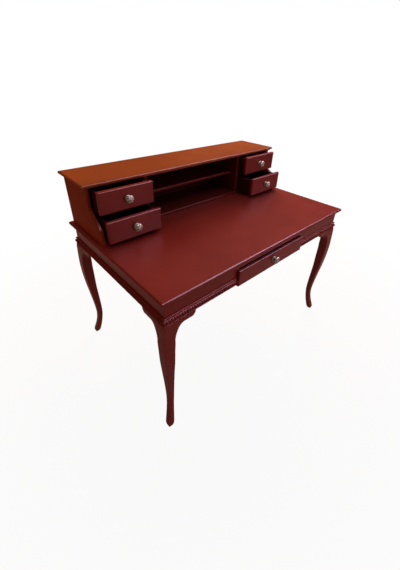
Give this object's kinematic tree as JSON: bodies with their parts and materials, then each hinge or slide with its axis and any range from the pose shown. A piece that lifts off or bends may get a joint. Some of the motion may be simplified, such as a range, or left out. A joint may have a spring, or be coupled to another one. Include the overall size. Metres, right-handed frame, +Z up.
{
  "type": "secretary desk",
  "caption": "Writing desk on cabriole legs with carved apron strip, a low hutch of small drawers round an open bay, and a slim centre drawer with metal knobs.",
  "frame": {"origin": "on the floor, under the middle of the whole desk's box, knobs and hutch top included", "axes": "+Z up, +X to the sitter's right, -Y towards the sitter"},
  "size_m": [1.3, 0.8476, 1.037],
  "materials": {
    "mahogany_lacquer": "satin red mahogany lacquer",
    "drawer_box": "dark stained wood, matt",
    "bare_wood": "bare hardwood",
    "pewter": "antique pewter, aged in the hollows",
    "steel": "zinc plated steel"
  },
  "bodies": {
    "desk": {"table_top": "mahogany_lacquer", "apron_front": "mahogany_lacquer", "apron_back": "mahogany_lacquer", "apron_left": "mahogany_lacquer", "apron_right": "mahogany_lacquer", "leg_front_left": "mahogany_lacquer", "leg_front_right": "mahogany_lacquer", "leg_back_left": "mahogany_lacquer", "leg_back_right": "mahogany_lacquer", "knee_brackets_front_left": "mahogany_lacquer", "knee_brackets_front_right": "mahogany_lacquer", "knee_brackets_back_left": "mahogany_lacquer", "knee_brackets_back_right": "mahogany_lacquer", "moulding_front": "mahogany_lacquer", "moulding_back": "mahogany_lacquer", "moulding_left": "mahogany_lacquer", "moulding_right": "mahogany_lacquer", "corner_blocks": "bare_wood", "assembly_screws": "steel", "centre_runners": "bare_wood", "hutch_base": "mahogany_lacquer", "hutch_side_left": "mahogany_lacquer", "hutch_side_right": "mahogany_lacquer", "hutch_partition_left": "mahogany_lacquer", "hutch_partition_right": "mahogany_lacquer", "hutch_shelf": "mahogany_lacquer", "drawer_dividers": "mahogany_lacquer", "hutch_back": "drawer_box", "hutch_top": "mahogany_lacquer", "hutch_dowels": "bare_wood"},
    "upper_left_drawer": {"upper_left_front": "mahogany_lacquer", "upper_left_sides": "drawer_box", "upper_left_back": "drawer_box", "upper_left_bottom": "drawer_box", "upper_left_knob": "pewter", "upper_left_knob_screw": "steel"},
    "lower_left_drawer": {"lower_left_front": "mahogany_lacquer", "lower_left_sides": "drawer_box", "lower_left_back": "drawer_box", "lower_left_bottom": "drawer_box", "lower_left_knob": "pewter", "lower_left_knob_screw": "steel"},
    "upper_right_drawer": {"upper_right_front": "mahogany_lacquer", "upper_right_sides": "drawer_box", "upper_right_back": "drawer_box", "upper_right_bottom": "drawer_box", "upper_right_knob": "pewter", "upper_right_knob_screw": "steel"},
    "lower_right_drawer": {"lower_right_front": "mahogany_lacquer", "lower_right_sides": "drawer_box", "lower_right_back": "drawer_box", "lower_right_bottom": "drawer_box", "lower_right_knob": "pewter", "lower_right_knob_screw": "steel"},
    "centre_drawer": {"centre_front": "mahogany_lacquer", "centre_sides": "drawer_box", "centre_back": "drawer_box", "centre_bottom": "drawer_box", "centre_knob": "pewter", "centre_knob_screw": "steel"}
  },
  "joints": [
    {"name": "upper_left_drawer_slide", "type": "slide", "parent": "desk", "child": "upper_left_drawer", "axis": [0, -1, 0], "range_m": [-0.079, 0.101]},
    {"name": "lower_left_drawer_slide", "type": "slide", "parent": "desk", "child": "lower_left_drawer", "axis": [0, -1, 0], "range_m": [-0.132, 0.048]},
    {"name": "upper_right_drawer_slide", "type": "slide", "parent": "desk", "child": "upper_right_drawer", "axis": [0, -1, 0], "range_m": [-0.059, 0.121]},
    {"name": "lower_right_drawer_slide", "type": "slide", "parent": "desk", "child": "lower_right_drawer", "axis": [0, -1, 0], "range_m": [-0.124, 0.056]},
    {"name": "centre_drawer_slide", "type": "slide", "parent": "desk", "child": "centre_drawer", "axis": [0, -1, 0], "range_m": [0, 0.28]}
  ]
}
